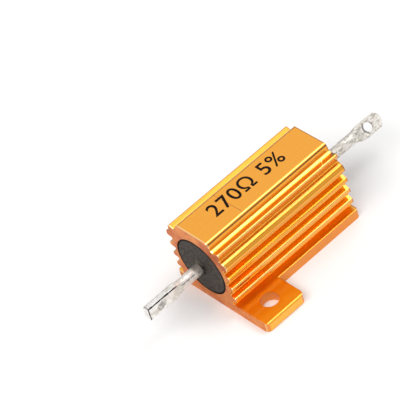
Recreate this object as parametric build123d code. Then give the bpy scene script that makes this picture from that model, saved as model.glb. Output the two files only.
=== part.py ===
from build123d import *
import os

# Aluminium housed wirewound power resistor of the 25 W size, standing on its base.
# Frame: +Y along the body and its leads, +X across it towards the front tab, +Z up.
# The origin is the middle of the mounting face. Every size is in millimetres.

# Extruded housing
body_length = 26.8
width_over_tabs = 27.2
overall_height = 14.6
flange_width = 15.3
flange_thickness = 1.85
flange_edge_radius = 0.4
base_edge_radius = 0.2

# Cooling ribs, which stand a little higher on the left side than on the right
rib_count = 4
rib_reach = 7.0
rib_root = 5.95
rib_pitch = 2.36
rib_tip_height = 0.8
rib_fall = 0.45
rib_underside_rise = 0.1
lowest_rib_top = 3.75
left_rib_lift = 0.6
crown_rib_shoulder = 6.6
crown_rib_fall = 0.3
rib_tip_radius = 0.28
rib_root_radius = 0.15

# Raised land along the top, with a sloping groove floor and a corner rib beside it
land_half_width = 3.75
land_edge_radius = 0.7
groove_inner_edge = 4.15
groove_inner_depth = 1.3
groove_outer_edge = 4.67
groove_outer_depth = 1.53
groove_radius = 0.2
corner_rib_reach = 6.15
corner_rib_top = 13.45
corner_rib_underside = 12.7
corner_rib_root = 5.6
corner_rib_lean = 0.15
corner_rib_radius = 0.3
crown_groove_floor = 11.7

# Bore for the resistance element
bore_radius = 5.5
bore_height = 7.2

# Mounting tabs, one at the front right and one at the rear left
tab_length = 8.5
tab_corner_radius = 1.0
flange_corner_radius = 0.5
hole_radius = 1.6
hole_pitch_across = 19.8
hole_pitch_along = 18.3
punch_clearance = 0.3

# Resistance element on its ceramic rod
core_radius = 3.0
core_length = 20.0
wire_depth = 0.39
wire_width = 1.4
wire_play = 0.005
winding_pitch = 2.6

# Pressed steel end caps
cap_wall = 0.4
cap_floor = 0.5
cap_depth = 4.0

# Filling and end seals
seal_thickness = 2.5
seal_collar_radius = 1.9
seal_collar_height = 0.55
seal_collar_rim = 0.1

# Round tinned leads, each pressed into an eyelet lug. Distances run from the body's end
# face, turn is from level towards upright, offset is the lug's shift across and up, and
# slant is how much shorter its right or upper side is than the other
lead_radius = 1.0
lug_edge_share = 0.2
eyelet_radius = 0.9
front_lead = dict(
    press=4.6, shoulder=6.2, reach=12.1, width=2.6, thickness=1.3,
    turn=88, offset=(0.05, -0.07), eyelet=9.3, slant=0, corners=(0.3, 0.3),
)
rear_lead = dict(
    press=7.9, shoulder=9.8, reach=15.0, width=2.9, thickness=0.8,
    turn=-42, offset=(0.16, -0.2), eyelet=11.4, slant=1.5, corners=(0.5, 1.2),
)

half_length = body_length / 2
cap_face = core_length / 2 + cap_floor
cap_radius = core_radius + cap_wall


def rib_corners(top):
    """One cooling rib as (x, z, corner radius), from its underside up to its root."""
    return [
        (rib_root, top - rib_tip_height - rib_underside_rise, rib_root_radius),
        (rib_reach, top - rib_tip_height, rib_tip_radius),
        (rib_reach, top, rib_tip_radius),
        (rib_root, top + rib_fall, rib_root_radius),
    ]


def side_corners(lift):
    """Half of the extruded section, from the base's edge up to the land."""
    half_width = width_over_tabs / 2
    crown_floor = crown_groove_floor + lift
    corners = [
        (half_width, 0, base_edge_radius),
        (half_width, flange_thickness, flange_edge_radius),
        (rib_root, flange_thickness, rib_root_radius),
    ]
    for rib in range(rib_count):
        corners += rib_corners(lowest_rib_top + lift + rib * rib_pitch)
    corners.pop()
    return corners + [
        (crown_rib_shoulder, crown_floor - crown_rib_fall, rib_tip_radius),
        (corner_rib_root, crown_floor, rib_root_radius),
        (corner_rib_reach - corner_rib_lean, corner_rib_underside, rib_root_radius),
        (corner_rib_reach, corner_rib_top, corner_rib_radius),
        (groove_outer_edge, overall_height - groove_outer_depth, groove_radius),
        (groove_inner_edge, overall_height - groove_inner_depth, groove_radius),
        (land_half_width, overall_height, land_edge_radius),
    ]


def section_outline():
    """The whole extruded section: its right half, then its left half back down."""
    left = [(-x, z, radius) for x, z, radius in reversed(side_corners(left_rib_lift))]
    corners = side_corners(0) + left
    points = [(x, z) for x, z, radius in corners]
    radii = [radius for x, z, radius in corners]
    return FilletPolyline(*points, radius=radii, close=True)


def plan_outline():
    """The flange seen from above after punching: a narrow strip with two diagonal tabs."""
    strip = Rectangle(flange_width, body_length)
    strip = fillet(strip.vertices(), flange_corner_radius)
    tab_width = width_over_tabs / 2
    tab = Pos(tab_width / 2, -half_length + tab_length / 2) * Rectangle(tab_width, tab_length)
    tab = fillet(tab.vertices().group_by(Axis.X)[-1], tab_corner_radius)
    return strip + tab + Rot(Z=180) * tab


def flange_waste():
    """What the punch takes away from the full-width flange."""
    depth = flange_thickness + punch_clearance
    blank = Box(width_over_tabs + punch_clearance, body_length + punch_clearance, depth)
    return Pos(0, 0, depth / 2) * blank - extrude(plan_outline(), depth)


def mounting_holes():
    """Two clearance holes on a diagonal, one in each tab."""
    hole = Cylinder(hole_radius, 4 * flange_thickness)
    front = Pos(hole_pitch_across / 2, -hole_pitch_along / 2) * hole
    return [front, Rot(Z=180) * front]


def along_body(radius, start, end):
    """A round bar on the bore's axis, from one distance along the body to another."""
    middle = (start + end) / 2
    return Pos(0, middle, bore_height) * Rot(X=90) * Cylinder(radius, end - start)


def housing():
    """The extruded, punched, drilled and bored aluminium body."""
    section = Plane.XZ * make_face(section_outline())
    body = extrude(section, half_length, both=True)
    bore = along_body(bore_radius, -half_length, half_length)
    return body - flange_waste() - mounting_holes() - bore


def ceramic_core():
    return along_body(core_radius, -core_length / 2, core_length / 2)


def end_cap():
    """The rear cup, pressed over the end of the core and closed on its outer side."""
    cup = along_body(cap_radius, cap_face - cap_depth, cap_face)
    return cup - along_body(core_radius, cap_face - cap_depth, cap_face - cap_floor)


def resistance_winding():
    """A coil of flat ribbon on the core, its two ends welded to the rims of the caps."""
    span = 2 * (cap_face - cap_depth)
    length = span + 2 * winding_pitch
    path = Helix(winding_pitch, length, core_radius + wire_play + wire_depth / 2)
    start = Plane(origin=path @ 0, x_dir=(1, 0, 0), z_dir=path % 0)
    coil = sweep(start * Rectangle(wire_depth, wire_width), path, is_frenet=True)
    coil = Pos(0, 0, -length / 2) * coil & Box(3 * core_radius, 3 * core_radius, span)
    return Pos(0, 0, bore_height) * Rot(X=90) * coil


def lead_frame(offset=(0, 0), turn=0):
    """Where the rear lead leaves the body: +Z outwards, +X across its pressed lug."""
    across = Vector(1, 0, 0).rotate(Axis.Y, -turn)
    origin = (offset[0], half_length, bore_height + offset[1])
    return Plane(origin=origin, x_dir=across, z_dir=(0, 1, 0)).location


def lug_outline(lead):
    """The pressed lug seen on its wide side: straight sides and two rounded corners."""
    side = lead["width"] / 2
    near = lead["shoulder"]
    tips = [(side, lead["reach"] - lead["slant"]), (-side, lead["reach"])]
    corners = [(-side, near), (side, near)] + tips
    return make_face(FilletPolyline(*corners, radius=[0, 0, *lead["corners"]], close=True))


def terminal(lead):
    """A round lead at the rear, welded to its cap and pressed flat into an eyelet lug."""
    buried = half_length - cap_face
    thickness = lead["thickness"]
    axis = lead_frame(turn=lead["turn"])
    lug = lead_frame(lead["offset"], lead["turn"])
    section = RectangleRounded(lead["width"], thickness, lug_edge_share * thickness)
    blade_start = lug * Pos(0, 0, lead["shoulder"]) * section
    wire = extrude(axis * Pos(0, 0, -buried) * Circle(lead_radius), lead["press"] + buried)
    pressed = loft([axis * Pos(0, 0, lead["press"]) * Circle(lead_radius), blade_start])
    blade = extrude(blade_start, lead["reach"] - lead["shoulder"])
    blade &= lug * extrude(Plane.XZ.offset(-thickness) * lug_outline(lead), 2 * thickness)
    eyelet = Pos(0, 0, lead["eyelet"]) * Rot(X=90) * Cylinder(eyelet_radius, 4 * thickness)
    return wire + pressed + blade - lug * eyelet


def end_seal():
    """The rear plug of sealing compound, with a low collar where it creeps up the lead."""
    disc = along_body(bore_radius, half_length - seal_thickness, half_length)
    collar = Cone(seal_collar_radius, lead_radius + seal_collar_rim, seal_collar_height)
    collar = Pos(0, half_length + seal_collar_height / 2, bore_height) * Rot(X=-90) * collar
    lead_way = along_body(lead_radius, cap_face, half_length + seal_collar_height)
    return disc + collar - lead_way


def potting_fill():
    """Heat-conducting cement between the seals, cast round the element and its leads."""
    reach = half_length - seal_thickness
    fill = along_body(bore_radius, -reach, reach)
    fill -= along_body(cap_radius, -cap_face, cap_face)
    return fill - along_body(lead_radius, -reach, reach)


def front(shape):
    """The same piece at the front end of the body."""
    return mirror(shape, about=Plane.XZ)


pieces = {
    "housing": housing(),
    "ceramic_core": ceramic_core(),
    "resistance_winding": resistance_winding(),
    "end_cap_front": front(end_cap()),
    "end_cap_rear": end_cap(),
    "terminal_front": front(terminal(front_lead)),
    "terminal_rear": terminal(rear_lead),
    "potting_fill": potting_fill(),
    "end_seal_front": front(end_seal()),
    "end_seal_rear": end_seal(),
}

os.makedirs("parts", exist_ok=True)
for node, shape in pieces.items():
    export_step(shape, f"parts/{node}.step")
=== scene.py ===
import math
import bmesh
import bpy
from mathutils import Matrix, Vector, noise


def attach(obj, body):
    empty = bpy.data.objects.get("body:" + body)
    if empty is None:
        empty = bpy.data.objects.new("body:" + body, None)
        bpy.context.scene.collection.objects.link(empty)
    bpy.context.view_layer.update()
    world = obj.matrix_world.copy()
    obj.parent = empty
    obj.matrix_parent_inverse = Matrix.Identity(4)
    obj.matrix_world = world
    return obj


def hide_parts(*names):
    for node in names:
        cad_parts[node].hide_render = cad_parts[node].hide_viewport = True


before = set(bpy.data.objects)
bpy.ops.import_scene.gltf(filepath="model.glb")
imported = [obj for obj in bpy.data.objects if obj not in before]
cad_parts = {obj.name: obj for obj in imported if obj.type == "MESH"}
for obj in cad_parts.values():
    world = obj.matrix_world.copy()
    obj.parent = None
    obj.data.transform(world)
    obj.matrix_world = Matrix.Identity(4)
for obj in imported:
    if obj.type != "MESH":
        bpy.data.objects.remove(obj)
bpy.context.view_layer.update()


# Ceramic core: a dry-pressed and fired steatite rod that carries the winding. It is sealed
# inside the housing. Unglazed ceramic is off-white and matt, with a fine chalky grain.
mm = 0.001
core_white = "EDE7DA"
core_shade = "D9D0BF"
core_grain = 0.3 * mm


def linear(code):
    """An sRGB hex colour as the linear colour that shaders take."""
    shares = [int(code[i:i + 2], 16) / 255 for i in (0, 2, 4)]
    return [s / 12.92 if s < 0.04045 else ((s + 0.055) / 1.055) ** 2.4 for s in shares] + [1]


def new_material(name):
    """An empty material for a finish."""
    material = bpy.data.materials.new(name)
    material.use_nodes = True
    material.node_tree.nodes.clear()
    return material


def add(material, kind, inputs=(), **settings):
    """Adds one shader node. Each input is a socket, with a value or another node's output."""
    tree = material.node_tree
    made = tree.nodes.new("ShaderNode" + kind)
    for name, value in settings.items():
        setattr(made, name, value)
    for name, value in dict(inputs).items():
        if isinstance(value, bpy.types.NodeSocket):
            tree.links.new(value, made.inputs[name])
        else:
            made.inputs[name].default_value = value
    return made.outputs


def dress(node, material):
    """Gives a piece of the fixed frame its material. Its mesh stays as it is."""
    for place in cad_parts[node].material_slots:
        place.material = material


ceramic = new_material("unglazed_steatite")
place = add(ceramic, "TexCoord")["Object"]
grain = add(ceramic, "TexNoise", {"Vector": place, "Scale": 1 / core_grain, "Detail": 4})["Fac"]
tone = add(ceramic, "Mix", {0: grain, 6: linear(core_white), 7: linear(core_shade)},
           data_type="RGBA")[2]
chalk = add(ceramic, "Bump", {"Height": grain, "Strength": 0.4, "Distance": 0.02 * mm})[0]
face = add(ceramic, "BsdfPrincipled", {"Base Color": tone, "Roughness": 0.75, "Normal": chalk})
add(ceramic, "OutputMaterial", {"Surface": face[0]})
dress("ceramic_core", ceramic)


# Winding: one length of resistance alloy, wound on the core and welded to a cap at each
# end. Drawn nickel-chrome is a plain grey metal with fine lines along its length.
alloy_grey = "9A958C"
drawn_line = 0.15 * mm

resistance_alloy = new_material("drawn_nickel_chrome")
place = add(resistance_alloy, "TexCoord")["Object"]
along = add(resistance_alloy, "Mapping", {
    "Vector": place, "Scale": (0.2 / mm, 1 / drawn_line, 0.2 / mm)})[0]
lines = add(resistance_alloy, "TexNoise", {"Vector": along, "Scale": 1, "Detail": 3})["Fac"]
dull = add(resistance_alloy, "MapRange", {"Value": lines, "To Min": 0.3, "To Max": 0.5})[0]
face = add(resistance_alloy, "BsdfPrincipled", {
    "Base Color": linear(alloy_grey), "Metallic": 1, "Roughness": dull})
add(resistance_alloy, "OutputMaterial", {"Surface": face[0]})
dress("resistance_winding", resistance_alloy)


# End caps: deep-drawn steel cups, pressed over the ends of the core. Each joins the winding
# to its lead. Plain drawn steel is satin, with a mottle where the press has rubbed it.
cap_steel = "A8A6A0"
press_mottle = 0.8 * mm

drawn_steel = new_material("deep_drawn_steel")
place = add(drawn_steel, "TexCoord")["Object"]
mottle = add(drawn_steel, "TexNoise", {"Vector": place, "Scale": 1 / press_mottle})["Fac"]
dull = add(drawn_steel, "MapRange", {"Value": mottle, "To Min": 0.28, "To Max": 0.45})[0]
face = add(drawn_steel, "BsdfPrincipled", {
    "Base Color": linear(cap_steel), "Metallic": 1, "Roughness": dull})
add(drawn_steel, "OutputMaterial", {"Surface": face[0]})
dress("end_cap_front", drawn_steel)
dress("end_cap_rear", drawn_steel)


# Filling: silicone cement cast round the element to carry its heat to the housing. It is a
# pale grey mass with sand in it, and no light reaches it between the two seals.
cement_grey = "B9B4A8"
sand_grey = "8F897D"
sand_size = 0.35 * mm

cement = new_material("silicone_cement")
place = add(cement, "TexCoord")["Object"]
sand = add(cement, "TexVoronoi", {"Vector": place, "Scale": 1 / sand_size})["Distance"]
tone = add(cement, "Mix", {0: sand, 6: linear(sand_grey), 7: linear(cement_grey)},
           data_type="RGBA")[2]
rough = add(cement, "Bump", {"Height": sand, "Strength": 0.5, "Distance": 0.05 * mm})[0]
face = add(cement, "BsdfPrincipled", {"Base Color": tone, "Roughness": 0.9, "Normal": rough})
add(cement, "OutputMaterial", {"Surface": face[0]})
dress("potting_fill", cement)


# Housing: one length of aluminium extrusion, sawn off, punched back to two tabs, drilled,
# bored and gold anodised. The dye tints the metal's own reflection under a clear, glossy
# oxide. Sawn and punched faces take less of it, so they are matt and nearer to salmon.
gold_dye = "F8A812"
gold_shade = "F5A00C"
die_drag = "C8780C"
painted_shade_dark = "722F06"
sawn_dye = "EC9A52"
sawn_shade = "C86832"
punched_dye = "EC9C4E"
valley_light_dye = "FFB222"
# pale for worn edges, and also used for painted highlights
worn_edge_and_highlight = "FFEBB8"
rear_painted_shade = "8E3E0C"
hairline_dark = "C87A10"
die_line = 0.25 * mm        # real ones are finer and wouldn't show
die_line_length = 18 * mm
die_line_height = 0.009 * mm
saw_line = 0.3 * mm         # this and the etch are drawn coarser for the same reason
saw_line_length = 4 * mm
etch_grain = 0.3 * mm
etch_height = 0.006 * mm
blotch_size = 3 * mm
half_length = 13.4 * mm
end_margin = 0.1 * mm
end_facing = 0.6            # how squarely a sawn face looks along the body, at least
level_facing = 0.5          # how squarely a level face looks up or down, at least
flange_top = 1.9 * mm
flange_side = 7.5 * mm
tab_side = 13.54 * mm
strip_side = 7.65 * mm
tab_start = 4.9 * mm
roll_width = 0.15 * mm      # the punch draws the upper edge down a little
roll_depth = 0.05 * mm
lip_highlight_share = 0.25            # and that edge gets a little painted highlight
edge_highlight_width = 0.26 * mm      # as the front edge of the whole body has, more strongly
edge_highlight_share = 0.55
rear_shade_width = 0.22 * mm     # painted shade: a darker line along the rear edge
rear_shade_full = 0.14 * mm
rear_shade_share = 0.6
nook_height = 3.1 * mm      # painted light: a paler gold in under the lowest rib
valley_reach = 6.45 * mm    # and in the valleys between the ribs
crown_height = 11.3 * mm
top_height = 14.6 * mm
land_level = 14.55 * mm
hairline = -5.1 * mm        # a fine score across the land, with gaps
hairline_lean = -0.025
hairline_width = 0.07 * mm
hairline_gap = 0.42
nick_slope = 0.75           # a pale nick across the corner rib near its rear end
nick_crossing = 14.6 * mm
nick_width = 0.15 * mm
nick_middle = 5.2 * mm
nick_reach = 0.6 * mm
nick_level = 12.9 * mm
nick_share = 0.9
drag_share = 0.6
satin_roughness = 0.19
flange_roughness = 0.36
cut_roughness = 0.5
outline_lean = 0.893        # the section is followed from the land down and outwards, slanted as the camera sees it
# Painted highlights on the lit edges and painted shade in the grooves, on the right side:
# distance along that way, half width, strength and colour.
painted_light_and_shade_lines = [
    (3.55 * mm, 0.13 * mm, 0.15, worn_edge_and_highlight),
    (4.02 * mm, 0.12 * mm, 0.85, painted_shade_dark),
    (5.65 * mm, 0.22 * mm, 0.13, worn_edge_and_highlight),
    (6.5 * mm, 0.35 * mm, 0.16, painted_shade_dark),
    (7.2 * mm, 0.15 * mm, 0.35, worn_edge_and_highlight),
    (8.0 * mm, 0.13 * mm, 0.3, painted_shade_dark),
    (8.72 * mm, 0.13 * mm, 0.5, painted_shade_dark),
    (9.12 * mm, 0.17 * mm, 0.2, worn_edge_and_highlight),
    (10.78 * mm, 0.1 * mm, 0.35, painted_shade_dark),
    (12.8 * mm, 0.09 * mm, 0.25, painted_shade_dark),
    (14.55 * mm, 0.24 * mm, 0.2, worn_edge_and_highlight),
    (16.6 * mm, 0.24 * mm, 0.22, worn_edge_and_highlight),
]

gold = new_material("gold_anodised_aluminium")
place = add(gold, "TexCoord")["Object"]
facing = add(gold, "SeparateXYZ", {0: add(gold, "NewGeometry")["True Normal"]})
spot = add(gold, "SeparateXYZ", {0: place})

# Where the sawn ends and the punched edges are
along = add(gold, "Math", {0: spot["Y"]}, operation="ABSOLUTE")[0]
aside = add(gold, "Math", {0: spot["X"]}, operation="ABSOLUTE")[0]
ends_on = add(gold, "Math", {0: facing["Y"]}, operation="ABSOLUTE")[0]
end_zone = add(gold, "Math", {0: along, 1: half_length - end_margin},
               operation="GREATER_THAN")[0]
end_face = add(gold, "Math", {0: ends_on, 1: end_facing}, operation="GREATER_THAN")[0]
sawn = add(gold, "Math", {0: end_face, 1: end_zone}, operation="MULTIPLY")[0]
level = add(gold, "Math", {0: facing["Z"]}, operation="ABSOLUTE")[0]
upright = add(gold, "Math", {0: level, 1: level_facing}, operation="LESS_THAN")[0]
low = add(gold, "Math", {0: spot["Z"], 1: flange_top}, operation="LESS_THAN")[0]
outside = add(gold, "Math", {0: aside, 1: flange_side}, operation="GREATER_THAN")[0]
inside = add(gold, "Math", {0: aside, 1: tab_side}, operation="LESS_THAN")[0]
beside = add(gold, "Math", {0: inside, 1: outside}, operation="MULTIPLY")[0]
on_flange = add(gold, "Math", {0: low, 1: beside}, operation="MULTIPLY")[0]
punched = add(gold, "Math", {0: on_flange, 1: upright}, operation="MULTIPLY")[0]
cut = add(gold, "Math", {0: sawn, 1: punched}, operation="MAXIMUM")[0]

# Die lines along the body, saw lines across its ends, and the grain of the etch
stretched = add(gold, "Mapping", {
    "Vector": place, "Scale": (1 / die_line, 1 / die_line_length, 1 / die_line)})[0]
lines = add(gold, "TexNoise", {"Vector": stretched, "Scale": 1, "Detail": 3})["Fac"]
sawing = add(gold, "Mapping", {
    "Vector": place, "Scale": (1 / saw_line_length, 1 / saw_line, 1 / saw_line)})[0]
saw_marks = add(gold, "TexNoise", {"Vector": sawing, "Scale": 1, "Detail": 3})["Fac"]
grain = add(gold, "TexNoise", {"Vector": place, "Scale": 1 / etch_grain, "Detail": 2})["Fac"]

# The dye, with the die's drag in it, the painted highlight and shade lines along the right side
# and the nick
on_land = add(gold, "Math", {0: spot["Z"], 1: land_level}, operation="GREATER_THAN")[0]
off_land = add(gold, "Math", {0: 1, 1: on_land}, operation="SUBTRACT")[0]
drag = add(gold, "MapRange", {"Value": lines, "From Min": 0.56, "From Max": 0.64,
                              "To Max": drag_share})[0]
dragged = add(gold, "Math", {0: drag, 1: off_land}, operation="MULTIPLY")[0]
even = add(gold, "Mix", {0: lines, 6: linear(gold_dye), 7: linear(gold_shade)},
           data_type="RGBA")[2]
dyed = add(gold, "Mix", {0: dragged, 6: even, 7: linear(die_drag)}, data_type="RGBA")[2]
depth = add(gold, "Math", {0: top_height, 1: spot["Z"]}, operation="SUBTRACT")[0]
followed = add(gold, "Math", {0: depth, 1: outline_lean, 2: spot["X"]},
               operation="MULTIPLY_ADD")[0]
# painted highlights and painted shade, laid where the lit edges and shaded grooves fall
for middle, half_width, strength, shade in painted_light_and_shade_lines:
    line = add(gold, "Math", {0: followed, 1: middle, 2: half_width}, operation="COMPARE")[0]
    line = add(gold, "Math", {0: line, 1: strength}, operation="MULTIPLY")[0]
    dyed = add(gold, "Mix", {0: line, 6: dyed, 7: linear(shade)}, data_type="RGBA")[2]
nick_way = add(gold, "Math", {0: spot["X"], 1: nick_slope, 2: spot["Y"]},
               operation="MULTIPLY_ADD")[0]
nicked = add(gold, "Math", {0: nick_way, 1: nick_crossing, 2: nick_width},
             operation="COMPARE")[0]
on_rib = add(gold, "Math", {0: spot["X"], 1: nick_middle, 2: nick_reach},
             operation="COMPARE")[0]
on_top = add(gold, "Math", {0: spot["Z"], 1: nick_level}, operation="GREATER_THAN")[0]
for limit in (on_rib, on_top, nick_share):
    nicked = add(gold, "Math", {0: nicked, 1: limit}, operation="MULTIPLY")[0]
dyed = add(gold, "Mix", {0: nicked, 6: dyed, 7: linear(worn_edge_and_highlight)}, data_type="RGBA")[2]

# Painted light as a paler gold in the valleys and under the lowest rib, thinner dye on the
# punched edges, blotched on the sawn ends
# painted light: paler gold in the recesses
nook = add(gold, "Math", {0: spot["Z"], 1: nook_height}, operation="LESS_THAN")[0]
under_crown = add(gold, "Math", {0: spot["Z"], 1: crown_height}, operation="LESS_THAN")[0]
inner = add(gold, "Math", {0: aside, 1: valley_reach}, operation="LESS_THAN")[0]
valley = add(gold, "Math", {0: inner, 1: under_crown}, operation="MULTIPLY")[0]
painted_light_mask = add(gold, "Math", {0: nook, 1: valley}, operation="MAXIMUM")[0]
thin = add(gold, "Mix", {0: painted_light_mask, 6: dyed, 7: linear(valley_light_dye)}, data_type="RGBA")[2]
edged = add(gold, "Mix", {0: punched, 6: thin, 7: linear(punched_dye)}, data_type="RGBA")[2]
blotch = add(gold, "TexNoise", {"Vector": place, "Scale": 1 / blotch_size, "Detail": 3})["Fac"]
uneven = add(gold, "MapRange", {"Value": blotch, "From Min": 0.35, "From Max": 0.65})[0]
bare = add(gold, "Mix", {0: uneven, 6: linear(sawn_dye), 7: linear(sawn_shade)},
           data_type="RGBA")[2]

# Edges: a painted highlight along the front edge, painted shade along the rear edge, and along
# the flange an edge drawn down with a little painted highlight on it
# painted highlight along the front edge
forward = add(gold, "Math", {0: spot["Y"], 1: -1}, operation="MULTIPLY")[0]
front_edge_highlight = add(gold, "MapRange", {"Value": forward, "From Min": half_length - edge_highlight_width,
                                "From Max": half_length - 0.5 * edge_highlight_width,
                                "To Max": edge_highlight_share})[0]
worn = add(gold, "Mix", {0: front_edge_highlight, 6: edged, 7: linear(worn_edge_and_highlight)}, data_type="RGBA")[2]
# painted shade along the rear edge
rear_edge_shade = add(gold, "MapRange", {"Value": spot["Y"], "From Min": half_length - rear_shade_width,
                              "From Max": half_length - rear_shade_full,
                              "To Max": rear_shade_share})[0]
rear_shaded = add(gold, "Mix", {0: rear_edge_shade, 6: worn, 7: linear(rear_painted_shade)}, data_type="RGBA")[2]
diagonal = add(gold, "Math", {0: spot["X"], 1: spot["Y"]}, operation="MULTIPLY")[0]
towards_tab = add(gold, "Math", {0: diagonal, 1: aside}, operation="DIVIDE")[0]
into_tab = add(gold, "Math", {0: -tab_start, 1: towards_tab}, operation="SUBTRACT")[0]
into_strip = add(gold, "Math", {0: strip_side, 1: aside}, operation="SUBTRACT")[0]
inwards = add(gold, "Math", {0: into_tab, 1: into_strip}, operation="MAXIMUM")[0]
edge_fall = add(gold, "MapRange", {"Value": inwards, "From Max": roll_width})[0]
upwards = add(gold, "Math", {0: facing["Z"], 1: level_facing}, operation="GREATER_THAN")[0]
# painted highlight on the drawn-down flange edge
lip_highlight = add(gold, "MapRange", {"Value": edge_fall, "To Min": lip_highlight_share, "To Max": 0})[0]
for limit in (upwards, low):
    lip_highlight = add(gold, "Math", {0: lip_highlight, 1: limit}, operation="MULTIPLY")[0]
lip_highlit = add(gold, "Mix", {0: lip_highlight, 6: rear_shaded, 7: linear(worn_edge_and_highlight)}, data_type="RGBA")[2]

# The score across the land, then the sawn ends over all of it
slanted = add(gold, "Math", {0: spot["X"], 1: hairline_lean, 2: spot["Y"]},
              operation="MULTIPLY_ADD")[0]
scratch = add(gold, "Math", {0: slanted, 1: hairline, 2: hairline_width},
              operation="COMPARE")[0]
broken = add(gold, "Math", {0: blotch, 1: hairline_gap}, operation="GREATER_THAN")[0]
for limit in (on_land, broken):
    scratch = add(gold, "Math", {0: scratch, 1: limit}, operation="MULTIPLY")[0]
scored = add(gold, "Mix", {0: scratch, 6: lip_highlit, 7: linear(hairline_dark)},
             data_type="RGBA")[2]
colour = add(gold, "Mix", {0: sawn, 6: scored, 7: bare}, data_type="RGBA")[2]

# Shine and relief: satin and glossy as dyed, dull and bare where cut
satin = add(gold, "MapRange", {"Value": low, "To Min": satin_roughness,
                               "To Max": flange_roughness})[0]
cut_dull = add(gold, "Math", {0: cut, 1: cut_roughness}, operation="MULTIPLY")[0]
dull = add(gold, "Math", {0: satin, 1: cut_dull}, operation="MAXIMUM")[0]
gloss = add(gold, "MapRange", {"Value": cut, "To Min": 1.0, "To Max": 0.1})[0]
relief = add(gold, "Mix", {0: cut, 2: lines, 3: saw_marks})[0]
rolled = add(gold, "Bump", {"Height": edge_fall, "Strength": 1, "Distance": roll_depth})[0]
ridging = add(gold, "MapRange", {"Value": on_land, "To Min": 0.6, "To Max": 0.2})[0]
ridged = add(gold, "Bump", {"Height": relief, "Strength": ridging,
                            "Distance": die_line_height, "Normal": rolled})[0]
etched = add(gold, "Bump", {"Height": grain, "Strength": 0.12, "Distance": etch_height,
                            "Normal": ridged})[0]
face = add(gold, "BsdfPrincipled", {
    "Base Color": colour, "Metallic": 1, "Roughness": dull, "Normal": etched,
    "Coat Weight": gloss, "Coat Roughness": 0.08, "Coat IOR": 1.52})
add(gold, "OutputMaterial", {"Surface": face[0]})
dress("housing", gold)


# End seals: dark grey compound, poured to close the bore and scraped level with it. It
# shrinks from the wall as it sets, which leaves a shallow groove painted near black as shade,
# and it creeps up the lead as a torn collar, painted paler on its upper left and near black on
# its right as shade.
seal_grey = "322C27"
seal_speck = "4B443E"
# painted shade for the groove at the rim
seal_gap_shade = "0A0706"
# the collar's pale film with painted light on one side, and painted shade on the other
collar_pale_and_lit = "665E54"
collar_painted_shade = "15110E"
bore_height = 7.2 * mm
bore_radius = 5.49 * mm
lead_radius = 1.0 * mm
seal_depth = 2.4 * mm
seal_steps = 144
slope_steps = 8
flat_steps = 22
ring_width = 0.28 * mm
ring_depth = 0.3 * mm
collar_radius = 1.6 * mm
collar_height = 0.5 * mm
seal_pit = 0.45 * mm
pit_height = 0.018 * mm
tear_size = 0.5 * mm
tear_reach = 0.5 * mm
tear_height = 0.4 * mm
tear_place = (3, 0, 7)      # any other part of the noise than the pits have
seal_grit = 0.2 * mm
grit_height = 0.05 * mm
lit_way = (-0.95, 0, 0.3)  # the collar is painted lighter on its upper left and near black on its right, as light and shade
pale_start = -0.3 * mm
pale_full = 0.6 * mm
collar_fray = 1.6 * mm
collar_full = 1.95 * mm
collar_end = 2.25 * mm
gap_shade_start = 0.42 * mm
gap_shade_full = 0.3 * mm


def seal_profile():
    """Half a cut through the plug, as distances from the axis and out of the end face."""
    points = [(lead_radius, -seal_depth), (lead_radius, collar_height)]
    for step in range(1, slope_steps + 1):
        share = step / slope_steps
        out = lead_radius + share * (collar_radius - lead_radius)
        points.append((out, collar_height * (1 - share) ** 2))
    edge = bore_radius - ring_width
    for step in range(1, flat_steps + 1):
        points.append((collar_radius + (edge - collar_radius) * step / flat_steps, 0))
    points += [(edge + 0.4 * ring_width, -0.25 * ring_depth),
               (edge + 0.8 * ring_width, -0.8 * ring_depth),
               (bore_radius, -ring_depth), (bore_radius, -seal_depth)]
    return points


def end_seal(name, node, side):
    """The plug at one end, side -1 in front and 1 at the rear, uneven as if poured."""
    bm = bmesh.new()
    rim = [bm.verts.new((r, side * (half_length + h), bore_height)) for r, h in seal_profile()]
    edges = [bm.edges.new(pair) for pair in zip(rim, rim[1:] + rim[:1])]
    bmesh.ops.spin(bm, geom=rim + edges, cent=(0, 0, bore_height), axis=(0, 1, 0),
                   angle=2 * math.pi, steps=seal_steps, use_merge=True)
    for vert in bm.verts:
        out = math.hypot(vert.co.x, vert.co.z - bore_height)
        height = side * vert.co.y - half_length
        if height > -0.9 * ring_depth and out > 1.01 * lead_radius:
            pits = noise.fractal(vert.co / seal_pit, 1, 2, 3)
            creep = max(0, (collar_radius + tear_reach - out) / collar_radius)
            tear = noise.noise(vert.co / tear_size + Vector(tear_place))
            vert.co.y += side * (pit_height * pits + tear_height * creep * tear)
    bmesh.ops.recalc_face_normals(bm, faces=bm.faces)
    mesh = bpy.data.meshes.new(name)
    bm.to_mesh(mesh)
    bm.free()
    mesh.shade_smooth()
    plug = bpy.data.objects.new(name, mesh)
    bpy.context.collection.objects.link(plug)
    plug.data.materials.append(compound)
    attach(plug, "root")
    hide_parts(node)


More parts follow.
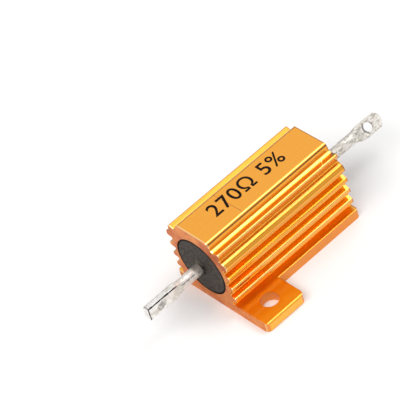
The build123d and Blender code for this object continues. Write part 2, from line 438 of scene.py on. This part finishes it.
compound = new_material("sealing_compound")
place = add(compound, "TexCoord")["Object"]
across = add(compound, "Mapping", {
    "Vector": place, "Location": (0, 0, -bore_height), "Scale": (1, 0, 1)})[0]
radius = add(compound, "VectorMath", {0: across}, operation="LENGTH")["Value"]
specks = add(compound, "TexNoise", {"Vector": place, "Scale": 1 / seal_pit, "Detail": 4})["Fac"]
grit = add(compound, "TexNoise", {"Vector": place, "Scale": 1 / seal_grit, "Detail": 2})["Fac"]
spotted = add(compound, "MapRange", {"Value": specks, "From Min": 0.38, "From Max": 0.62})[0]
body = add(compound, "Mix", {0: spotted, 6: linear(seal_grey), 7: linear(seal_speck)},
           data_type="RGBA")[2]
leftwards = add(compound, "VectorMath", {0: across, 1: lit_way},
                operation="DOT_PRODUCT")["Value"]
paler = add(compound, "MapRange", {"Value": leftwards, "From Min": pale_start,
                                   "From Max": pale_full})[0]
lit_and_shaded_collar = add(compound, "Mix", {0: paler, 6: linear(collar_painted_shade), 7: linear(collar_pale_and_lit)},
           data_type="RGBA")[2]
ragged = add(compound, "Math", {0: specks, 1: collar_fray, 2: radius},
             operation="MULTIPLY_ADD")[0]
collar = add(compound, "MapRange", {"Value": ragged, "From Min": collar_full,
                                    "From Max": collar_end, "To Min": 0.9, "To Max": 0})[0]
crept = add(compound, "Mix", {0: collar, 6: body, 7: lit_and_shaded_collar}, data_type="RGBA")[2]
# painted shade: a near black ring in the groove at the rim
gap_shade = add(compound, "MapRange", {"Value": radius, "From Min": bore_radius - gap_shade_start,
                                  "From Max": bore_radius - gap_shade_full})[0]
colour = add(compound, "Mix", {0: gap_shade, 6: crept, 7: linear(seal_gap_shade)}, data_type="RGBA")[2]
pitted = add(compound, "Bump", {"Height": grit, "Strength": 0.5, "Distance": grit_height})[0]
face = add(compound, "BsdfPrincipled", {
    "Base Color": colour, "Roughness": 0.7, "Normal": pitted, "Specular IOR Level": 0.2})
add(compound, "OutputMaterial", {"Surface": face[0]})
end_seal("end_seal_front_skin", "end_seal_front", -1)
end_seal("end_seal_rear_skin", "end_seal_rear", 1)


# Terminals: tinned copper-clad leads, each pressed flat at its end and pierced for a wire.
# The tin is bright in front and duller at the rear. The press leaves shallow dents, a dark
# flash line along the front lug and a burr where its tip was cropped.
tin_bright = "F8F6F1"
tin_dull = "F0ECE5"
tin_rubbed = "E0DBD3"
tin_stain = "8A8072"
film_brown = "6A5E50"
flash_black = "1C1916"
weld_distance = 0.001 * mm
fine_voxel = 0.07 * mm
grown = 100                 # the remesh takes no voxel this fine, so it works on a larger copy
smoothings = 3
dent_size = 1.1 * mm
dent_depth = 0.035 * mm
ripple_size = 0.45 * mm
ripple_depth = 0.012 * mm
patch_size = 1.6 * mm
streak_width = 0.4 * mm
streak_length = 0.9 * mm
streak_depth = 0.025 * mm
wrinkle_size = 0.25 * mm
wrinkle_depth = 0.02 * mm
flash_line = (0.67 * mm, 0, 8.33 * mm)     # the front lug's upper right corner
flash_reach = 0.24 * mm
flash_fray = 0.22 * mm
flash_start = -18.8 * mm
score_line = (0.82 * mm, 0, 7.77 * mm)     # a broken scratch on the round part beside it
score_reach = 0.24 * mm
score_fray = 0.3 * mm
score_middle = -16.9 * mm
score_span = 1.5 * mm
score_share = 0.7
tip_end = -25.42 * mm
burr_width = 0.3 * mm
tip_facing = -0.5
film_climb = 2.6 * mm       # a film of the sealing compound, drawn up the lead
film_fray = 0.8 * mm
film_full = -0.5 * mm
film_end = 0.1 * mm
film_share = 0.7
eyelet_middle = (0.16 * mm, 24.8 * mm, 7.0 * mm)
eyelet_axis = (0.669, 0, 0.743)
crescent_radius = 1.05 * mm     # a dark crescent round the rim of the rear eyelet, on its side towards the body
crescent_width = 0.22 * mm
crescent_edge = 0.6 * mm
crescent_share = 0.7
mirror_full = -19.5 * mm    # the front lug shines more than the round part
mirror_start = -16.5 * mm
mirror_share = 0.4


def pressed_terminal(name, node):
    """The lead and lug in a fine even mesh, with soft edges and the dents of the press."""
    bm = bmesh.new()
    bm.from_mesh(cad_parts[node].data)
    bmesh.ops.remove_doubles(bm, verts=bm.verts, dist=weld_distance)
    bmesh.ops.scale(bm, vec=(grown, grown, grown), verts=bm.verts)
    coarse = bpy.data.objects.new(name + "_coarse", bpy.data.meshes.new(name + "_coarse"))
    bm.to_mesh(coarse.data)
    bm.free()
    bpy.context.collection.objects.link(coarse)
    even = coarse.modifiers.new("even", "REMESH")
    even.mode = "VOXEL"
    even.voxel_size = grown * fine_voxel
    ready = coarse.evaluated_get(bpy.context.evaluated_depsgraph_get())
    bm = bmesh.new()
    bm.from_mesh(ready.to_mesh())
    bpy.data.objects.remove(coarse)
    bmesh.ops.scale(bm, vec=(1 / grown, 1 / grown, 1 / grown), verts=bm.verts)
    for _ in range(smoothings):
        bmesh.ops.smooth_vert(bm, verts=bm.verts, factor=0.5, use_axis_x=True,
                              use_axis_y=True, use_axis_z=True)
    bm.normal_update()
    for vert in bm.verts:
        dent = noise.noise(vert.co / dent_size)
        ripple = noise.noise(vert.co / ripple_size)
        vert.co += vert.normal * (dent_depth * dent + ripple_depth * ripple)
    mesh = bpy.data.meshes.new(name)
    bm.to_mesh(mesh)
    bm.free()
    mesh.shade_smooth()
    terminal = bpy.data.objects.new(name, mesh)
    bpy.context.collection.objects.link(terminal)
    terminal.data.materials.append(tin)
    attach(terminal, "root")
    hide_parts(node)


tin = new_material("bright_tin_plate")
place = add(tin, "TexCoord")["Object"]
outwards = add(tin, "SeparateXYZ", {0: place})["Y"]
rearward = add(tin, "MapRange", {"Value": outwards, "From Min": -half_length,
                                 "From Max": half_length})[0]

# The plate, with rubbed patches and grime that gathers in the dents
patch = add(tin, "TexNoise", {"Vector": place, "Scale": 1 / patch_size, "Detail": 4})["Fac"]
fresh = add(tin, "Mix", {0: rearward, 6: linear(tin_bright), 7: linear(tin_dull)},
            data_type="RGBA")[2]
rub = add(tin, "MapRange", {"Value": patch, "From Min": 0.45, "From Max": 0.65})[0]
colour = add(tin, "Mix", {0: rub, 6: fresh, 7: linear(tin_rubbed)}, data_type="RGBA")[2]
drawn_out = add(tin, "Mapping", {
    "Vector": place, "Scale": (1 / streak_width, 1 / streak_length, 1 / streak_width)})[0]
dents = add(tin, "TexNoise", {"Vector": drawn_out, "Scale": 1, "Detail": 3})["Fac"]
grime = add(tin, "MapRange", {"Value": dents, "From Min": 0.38, "From Max": 0.5,
                              "To Min": 0.5, "To Max": 0})[0]
wrinkles = add(tin, "TexNoise", {"Vector": place, "Scale": 1 / wrinkle_size, "Detail": 2})["Fac"]
specks = add(tin, "MapRange", {"Value": wrinkles, "From Min": 0.36, "From Max": 0.46,
                               "To Min": 0.55, "To Max": 0})[0]
handled = add(tin, "MapRange", {"Value": rearward, "To Min": 0.4})[0]
dirty = add(tin, "Math", {0: grime, 1: specks}, operation="MAXIMUM")[0]
dirty = add(tin, "Math", {0: dirty, 1: handled}, operation="MULTIPLY")[0]
marked = add(tin, "Mix", {0: dirty, 6: colour, 7: linear(tin_stain)}, data_type="RGBA")[2]

# The brown film next to the seals
from_middle = add(tin, "Math", {0: outwards}, operation="ABSOLUTE")[0]
past_end = add(tin, "Math", {0: from_middle, 1: half_length}, operation="SUBTRACT")[0]
climb = add(tin, "Math", {0: patch, 1: -film_climb, 2: past_end}, operation="MULTIPLY_ADD")[0]
frayed = add(tin, "Math", {0: wrinkles, 1: -film_fray, 2: climb}, operation="MULTIPLY_ADD")[0]
filmed = add(tin, "MapRange", {"Value": frayed, "From Min": film_full, "From Max": film_end,
                               "To Min": film_share, "To Max": 0})[0]
stained = add(tin, "Mix", {0: filmed, 6: marked, 7: linear(film_brown)}, data_type="RGBA")[2]

# A dark crescent round the rear eyelet's rim
from_eyelet = add(tin, "VectorMath", {0: place, 1: eyelet_middle}, operation="SUBTRACT")[0]
flat_off = add(tin, "VectorMath", {0: from_eyelet, 1: eyelet_axis}, operation="CROSS_PRODUCT")[0]
off_axis = add(tin, "VectorMath", {0: flat_off}, operation="LENGTH")["Value"]
rim_crescent = add(tin, "Math", {0: off_axis, 1: crescent_radius, 2: crescent_width}, operation="COMPARE")[0]
behind = add(tin, "Math", {0: outwards, 1: eyelet_middle[1] - crescent_edge},
             operation="LESS_THAN")[0]
for limit in (crescent_share, behind):
    rim_crescent = add(tin, "Math", {0: rim_crescent, 1: limit}, operation="MULTIPLY")[0]

# The front lug's flash line, the scratch beside it and the burr at its tip
crease = add(tin, "VectorMath", {0: place, 1: (1, 0, 1)}, operation="MULTIPLY")[0]
away = add(tin, "VectorMath", {0: crease, 1: flash_line}, operation="DISTANCE")["Value"]
torn = add(tin, "Math", {0: dents, 1: flash_fray, 2: away}, operation="MULTIPLY_ADD")[0]
near = add(tin, "Math", {0: torn, 1: flash_reach}, operation="LESS_THAN")[0]
pressed = add(tin, "Math", {0: outwards, 1: flash_start}, operation="LESS_THAN")[0]
flash = add(tin, "Math", {0: near, 1: pressed}, operation="MULTIPLY")[0]
off_score = add(tin, "VectorMath", {0: crease, 1: score_line}, operation="DISTANCE")["Value"]
ragged = add(tin, "Math", {0: wrinkles, 1: score_fray, 2: off_score}, operation="MULTIPLY_ADD")[0]
score = add(tin, "Math", {0: ragged, 1: score_reach}, operation="LESS_THAN")[0]
between = add(tin, "Math", {0: outwards, 1: score_middle, 2: score_span}, operation="COMPARE")[0]
for limit in (between, score_share):
    score = add(tin, "Math", {0: score, 1: limit}, operation="MULTIPLY")[0]
facing = add(tin, "SeparateXYZ", {0: add(tin, "NewGeometry")["True Normal"]})["Y"]
sideways = add(tin, "Math", {0: facing, 1: tip_facing}, operation="GREATER_THAN")[0]
cropped = add(tin, "Math", {0: dents, 1: burr_width, 2: tip_end}, operation="MULTIPLY_ADD")[0]
tip = add(tin, "Math", {0: outwards, 1: cropped}, operation="LESS_THAN")[0]
dark = add(tin, "Math", {0: tip, 1: sideways}, operation="MULTIPLY")[0]
for flaw in (flash, score, rim_crescent):
    dark = add(tin, "Math", {0: dark, 1: flaw}, operation="MAXIMUM")[0]
finished = add(tin, "Mix", {0: dark, 6: stained, 7: linear(flash_black)}, data_type="RGBA")[2]

# Shine and relief: partly milky, most of all at the rear, and dull in the dark marks
dull = add(tin, "MapRange", {"Value": rearward, "To Min": 0.36, "To Max": 0.54})[0]
matt = add(tin, "Math", {0: rub, 1: 0.12, 2: dull}, operation="MULTIPLY_ADD")[0]
mirror = add(tin, "MapRange", {"Value": outwards, "From Min": mirror_full,
                               "From Max": mirror_start, "To Min": mirror_share,
                               "To Max": 0})[0]
milky = add(tin, "MapRange", {"Value": rearward, "To Min": 0.5, "To Max": 0.8})[0]
clean = add(tin, "Math", {0: milky, 1: mirror})[0]
metal = add(tin, "MapRange", {"Value": dark, "To Min": clean, "To Max": 0})[0]
dented = add(tin, "Bump", {"Height": dents, "Strength": 0.4, "Distance": streak_depth})[0]
worn = add(tin, "Bump", {"Height": wrinkles, "Strength": 0.5, "Distance": wrinkle_depth,
                         "Normal": dented})[0]
face = add(tin, "BsdfPrincipled", {
    "Base Color": finished, "Metallic": metal, "Roughness": matt, "Normal": worn})
add(tin, "OutputMaterial", {"Surface": face[0]})
pressed_terminal("terminal_front_tinned", "terminal_front")
pressed_terminal("terminal_rear_tinned", "terminal_rear")


# Value mark: black ink, stamped on the land after anodising and baked. The characters are
# a plain value with its tolerance, slightly broken where the stamp met the metal unevenly.
ink_black = "160A06"
ink_thin = "6B3A14"
mark_words = "270Ω 5%"
mark_height = 3.3 * mm
mark_length = 15.8 * mm
mark_middle = (-0.85 * mm, -0.4 * mm)
letter_spacing = 1.08
letter_weight = 0.009       # how much bolder than the plain typeface
ink_film = 0.012 * mm
ink_patch = 0.35 * mm

ink = new_material("baked_marking_ink")
place = add(ink, "TexCoord")["Object"]
worn = add(ink, "TexNoise", {"Vector": place, "Scale": 1 / ink_patch, "Detail": 3})["Fac"]
thin = add(ink, "MapRange", {"Value": worn, "From Min": 0.62, "From Max": 0.72,
                             "To Max": 0.55})[0]
colour = add(ink, "Mix", {0: thin, 6: linear(ink_black), 7: linear(ink_thin)},
             data_type="RGBA")[2]
face = add(ink, "BsdfPrincipled", {
    "Base Color": colour, "Roughness": 0.9, "Specular IOR Level": 0.2})
add(ink, "OutputMaterial", {"Surface": face[0]})

letters = bpy.data.curves.new("mark_letters", "FONT")
letters.body = mark_words
letters.size = 1
letters.space_character = letter_spacing
letters.offset = letter_weight
drawn = bpy.data.objects.new("mark_letters", letters)
bpy.context.collection.objects.link(drawn)
ready = drawn.evaluated_get(bpy.context.evaluated_depsgraph_get())
bm = bmesh.new()
bm.from_mesh(ready.to_mesh())
bpy.data.objects.remove(drawn)
wide = [vert.co.x for vert in bm.verts]
tall = [vert.co.y for vert in bm.verts]
middle = Vector((max(wide) + min(wide), max(tall) + min(tall), 0)) / 2
bmesh.ops.translate(bm, vec=-middle, verts=bm.verts)
bmesh.ops.scale(bm, vec=(mark_length / (max(wide) - min(wide)),
                         mark_height / (max(tall) - min(tall)), 1), verts=bm.verts)
bmesh.ops.rotate(bm, cent=(0, 0, 0), matrix=Matrix.Rotation(math.pi / 2, 3, "Z"),
                 verts=bm.verts)
bmesh.ops.translate(bm, vec=(*mark_middle, top_height + ink_film), verts=bm.verts)
mesh = bpy.data.meshes.new("value_mark")
bm.to_mesh(mesh)
bm.free()
mark = bpy.data.objects.new("value_mark", mesh)
bpy.context.collection.objects.link(mark)
mark.data.materials.append(ink)
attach(mark, "root")


# Studio: a sheet of matt card under the part, a soft box overhead and slightly behind, and
# dimmer panels beside it and low on the right, which the ribs and grooves reflect. One panel
# in front lights the end face, and an even grey room fills the rest.
floor_white = "F7F7F7"
floor_size = 3.0            # in metres, as the lamps are
card_fibre = 0.6 * mm
fibre_height = 0.01 * mm
room_light = 0.43
lamps = {
    # name: (direction from the part, distance, width, length, radiance)
    "overhead_box": ((0.12, 0.38, 0.91), 0.6, 0.26, 0.3, 3.7),
    "ledge_strip": ((-0.27, 0.38, 0.885), 0.6, 0.1, 0.3, 0.9),
    "left_panel": ((-0.48, 0.38, 0.79), 0.6, 0.32, 0.4, 0.57),
    "right_panel": ((0.6, 0.38, 0.7), 0.9, 0.8, 0.38, 0.62),
    "low_panel": ((0.87, 0.38, 0.32), 0.9, 0.8, 0.24, 0.33),
    "front_panel": ((0.2, -0.62, 0.76), 0.8, 0.8, 0.5, 3.3),
}

sheet = new_material("matt_card")
place = add(sheet, "TexCoord")["Object"]
fibre = add(sheet, "TexNoise", {"Vector": place, "Scale": 1 / card_fibre, "Detail": 3})["Fac"]
tooth = add(sheet, "Bump", {"Height": fibre, "Strength": 0.1, "Distance": fibre_height})[0]
face = add(sheet, "BsdfPrincipled", {
    "Base Color": linear(floor_white), "Roughness": 0.9, "Normal": tooth})
add(sheet, "OutputMaterial", {"Surface": face[0]})
bm = bmesh.new()
bmesh.ops.create_grid(bm, x_segments=1, y_segments=1, size=floor_size)
mesh = bpy.data.meshes.new("floor")
bm.to_mesh(mesh)
bm.free()
floor = bpy.data.objects.new("floor", mesh)
bpy.context.collection.objects.link(floor)
floor.data.materials.append(sheet)

for name, (way, distance, width, length, radiance) in lamps.items():
    panel = bpy.data.lights.new(name, "AREA")
    panel.shape = "RECTANGLE"
    panel.size, panel.size_y = width, length
    panel.energy = math.pi * width * length * radiance
    lamp = bpy.data.objects.new(name, panel)
    lamp.location = distance * Vector(way).normalized()
    lamp.rotation_euler = lamp.location.to_track_quat("Z", "Y").to_euler()
    bpy.context.collection.objects.link(lamp)

room = bpy.data.worlds.new("even_room")
room.use_nodes = True
background = room.node_tree.nodes["Background"].inputs
background["Color"].default_value = (1, 1, 1, 1)
background["Strength"].default_value = room_light
bpy.context.scene.world = room
bpy.context.scene.view_settings.view_transform = "Standard"
bpy.context.scene.view_settings.look = "None"


# Camera: a long lens in front, to the right and above, rolled as the photograph is. The
# body's middle falls right of and below the picture's middle, which a small turn gives.
azimuth, elevation, roll = (math.radians(angle) for angle in (58.34, 43.65, -17.42))
body_middle = Vector((0, 0, 7 * mm))
camera_distance = 400.2 * mm
lens_length = 223.8
sensor_width = 36
picture_width = 400
middle_pixel = (261.0, 217.1)

pixel_length = lens_length / sensor_width * picture_width
turn = math.atan((middle_pixel[0] - picture_width / 2) / pixel_length)
tilt = math.atan((middle_pixel[1] - picture_width / 2) / pixel_length)
aim = (Matrix.Rotation(azimuth, 4, "Z") @ Matrix.Rotation(math.pi / 2 - elevation, 4, "X")
       @ Matrix.Rotation(roll, 4, "Z"))
lens = bpy.data.cameras.new("camera")
lens.lens = lens_length
lens.sensor_width = sensor_width
lens.clip_start, lens.clip_end = 0.01, 10
camera = bpy.data.objects.new("camera", lens)
stand = body_middle + aim.to_3x3() @ Vector((0, 0, camera_distance))
camera.matrix_world = (Matrix.Translation(stand) @ aim @ Matrix.Rotation(turn, 4, "Y")
                       @ Matrix.Rotation(tilt, 4, "X"))
bpy.context.collection.objects.link(camera)
bpy.context.scene.camera = camera
